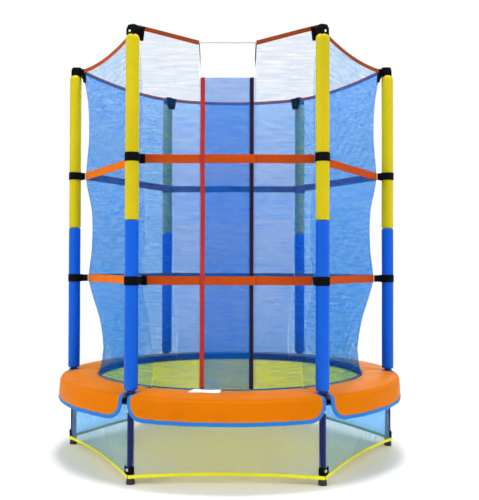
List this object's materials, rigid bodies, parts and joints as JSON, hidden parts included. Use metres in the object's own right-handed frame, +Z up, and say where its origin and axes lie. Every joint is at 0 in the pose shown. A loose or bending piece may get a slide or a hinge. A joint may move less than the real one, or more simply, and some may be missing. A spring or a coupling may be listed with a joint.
{
  "type": "trampoline",
  "caption": "Small round trampoline with padded ring, net enclosure between foam-covered poles, door flaps and a net skirt.",
  "frame": {"origin": "centre of the footprint on the floor", "axes": "+Z up along the poles, -Y towards the doorway, +X to the right seen from the doorway"},
  "size_m": [1.4442, 1.4444, 1.6294],
  "materials": {
    "navy_paint": "satin powder coat",
    "blue_foam": "vinyl-skinned foam, satin",
    "yellow_foam": "vinyl-skinned foam, satin",
    "black_rubber": "moulded, matte",
    "black_plastic": "moulded, matte",
    "zinc_steel": "zinc plated",
    "yellow_mat_cloth": "tight woven cloth",
    "navy_webbing": "woven tape",
    "orange_vinyl": "vinyl-coated cloth, soft sheen",
    "blue_binding": "folded tape",
    "navy_cord": "round elastic cord",
    "orange_webbing": "woven strap",
    "blue_net": "fine mesh",
    "white_cloth": "plain woven cloth",
    "red_webbing": "woven tape",
    "black_webbing": "woven strap",
    "skirt_net_cloth": "fine mesh",
    "yellow_hem_tape": "folded tape"
  },
  "bodies": {
    "frame": {"leg_1": "navy_paint", "leg_2": "navy_paint", "leg_3": "navy_paint", "leg_4": "navy_paint", "leg_5": "navy_paint", "leg_6": "navy_paint", "top_rail_1": "navy_paint", "top_rail_2": "navy_paint", "top_rail_3": "navy_paint", "top_rail_4": "navy_paint", "top_rail_5": "navy_paint", "top_rail_6": "navy_paint", "lower_pole_1": "navy_paint", "lower_pole_2": "navy_paint", "lower_pole_3": "navy_paint", "lower_pole_4": "navy_paint", "lower_pole_5": "navy_paint", "lower_pole_6": "navy_paint", "upper_pole_1": "navy_paint", "upper_pole_2": "navy_paint", "upper_pole_3": "navy_paint", "upper_pole_4": "navy_paint", "upper_pole_5": "navy_paint", "upper_pole_6": "navy_paint", "blue_foam_sleeve_1": "blue_foam", "blue_foam_sleeve_2": "blue_foam", "blue_foam_sleeve_3": "blue_foam", "blue_foam_sleeve_4": "blue_foam", "blue_foam_sleeve_5": "blue_foam", "blue_foam_sleeve_6": "blue_foam", "yellow_foam_sleeve_1": "yellow_foam", "yellow_foam_sleeve_2": "yellow_foam", "yellow_foam_sleeve_3": "yellow_foam", "yellow_foam_sleeve_4": "yellow_foam", "yellow_foam_sleeve_5": "yellow_foam", "yellow_foam_sleeve_6": "yellow_foam", "foot_caps": "black_rubber", "pole_end_caps": "black_plastic", "joint_bolts": "zinc_steel", "springs": "zinc_steel", "safety_pad": "orange_vinyl", "pad_binding": "blue_binding", "pad_tie_cords": "navy_cord", "upper_strap": "orange_webbing", "lower_strap": "orange_webbing", "enclosure_net": "blue_net", "top_webbing": "orange_webbing", "entrance_banner": "white_cloth", "pole_bands": "black_webbing", "corner_tabs": "black_webbing", "skirt_net": "skirt_net_cloth", "skirt_hem": "yellow_hem_tape", "skirt_corner_patches": "black_webbing"},
    "mat": {"jumping_mat": "yellow_mat_cloth", "mat_edge_band": "navy_webbing", "mat_rings": "zinc_steel"},
    "outer_flap": {"outer_door_flap": "blue_net", "outer_flap_webbing": "red_webbing"},
    "inner_flap": {"inner_door_flap": "blue_net", "inner_flap_webbing": "red_webbing"}
  },
  "joints": [
    {"name": "mat_bounce", "type": "slide", "parent": "frame", "child": "mat", "axis": [0, 0, 1], "range_m": [-0.1, 0], "stiffness_N_per_m": 6000, "springref_m": 0.006},
    {"name": "outer_flap_hinge", "type": "hinge", "parent": "frame", "child": "outer_flap", "pos_m": [0.104, -0.5575, 0.9], "axis": [0, 0, 1], "range_deg": [0, 110]},
    {"name": "inner_flap_hinge", "type": "hinge", "parent": "frame", "child": "inner_flap", "pos_m": [-0.104, -0.513, 0.9], "axis": [0, 0, 1], "range_deg": [0, 110]}
  ]
}
